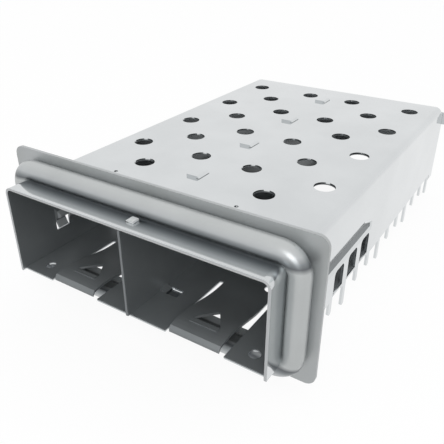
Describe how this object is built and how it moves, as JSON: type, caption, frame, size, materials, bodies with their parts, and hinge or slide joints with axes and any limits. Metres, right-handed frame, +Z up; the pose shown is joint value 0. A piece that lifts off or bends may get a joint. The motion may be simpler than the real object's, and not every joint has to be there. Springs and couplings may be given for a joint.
{
  "type": "ganged sfp cage",
  "caption": "Ganged metal cage that guides small pluggable network modules onto a circuit board, with latch tongues and a gasketed flange behind its mouth.",
  "frame": {"origin": "middle of the mouth's front edge, on the top face of the circuit board", "axes": "+X to the right as seen from the front, +Y from the mouth to the rear wall, +Z up from the board"},
  "size_m": [0.0338, 0.0496, 0.0148],
  "materials": {
    "bright_sheet": "bright plated sheet",
    "divider_sheet": "satin plated sheet",
    "flange_sheet": "satin plated sheet",
    "gasket_rubber": "satin, filled with metal particles"
  },
  "bodies": {
    "root": {"upper_shell": "bright_sheet", "floor_plate": "bright_sheet", "divider": "divider_sheet", "flange_plate": "flange_sheet", "emi_gasket": "gasket_rubber"}
  },
  "joints": []
}
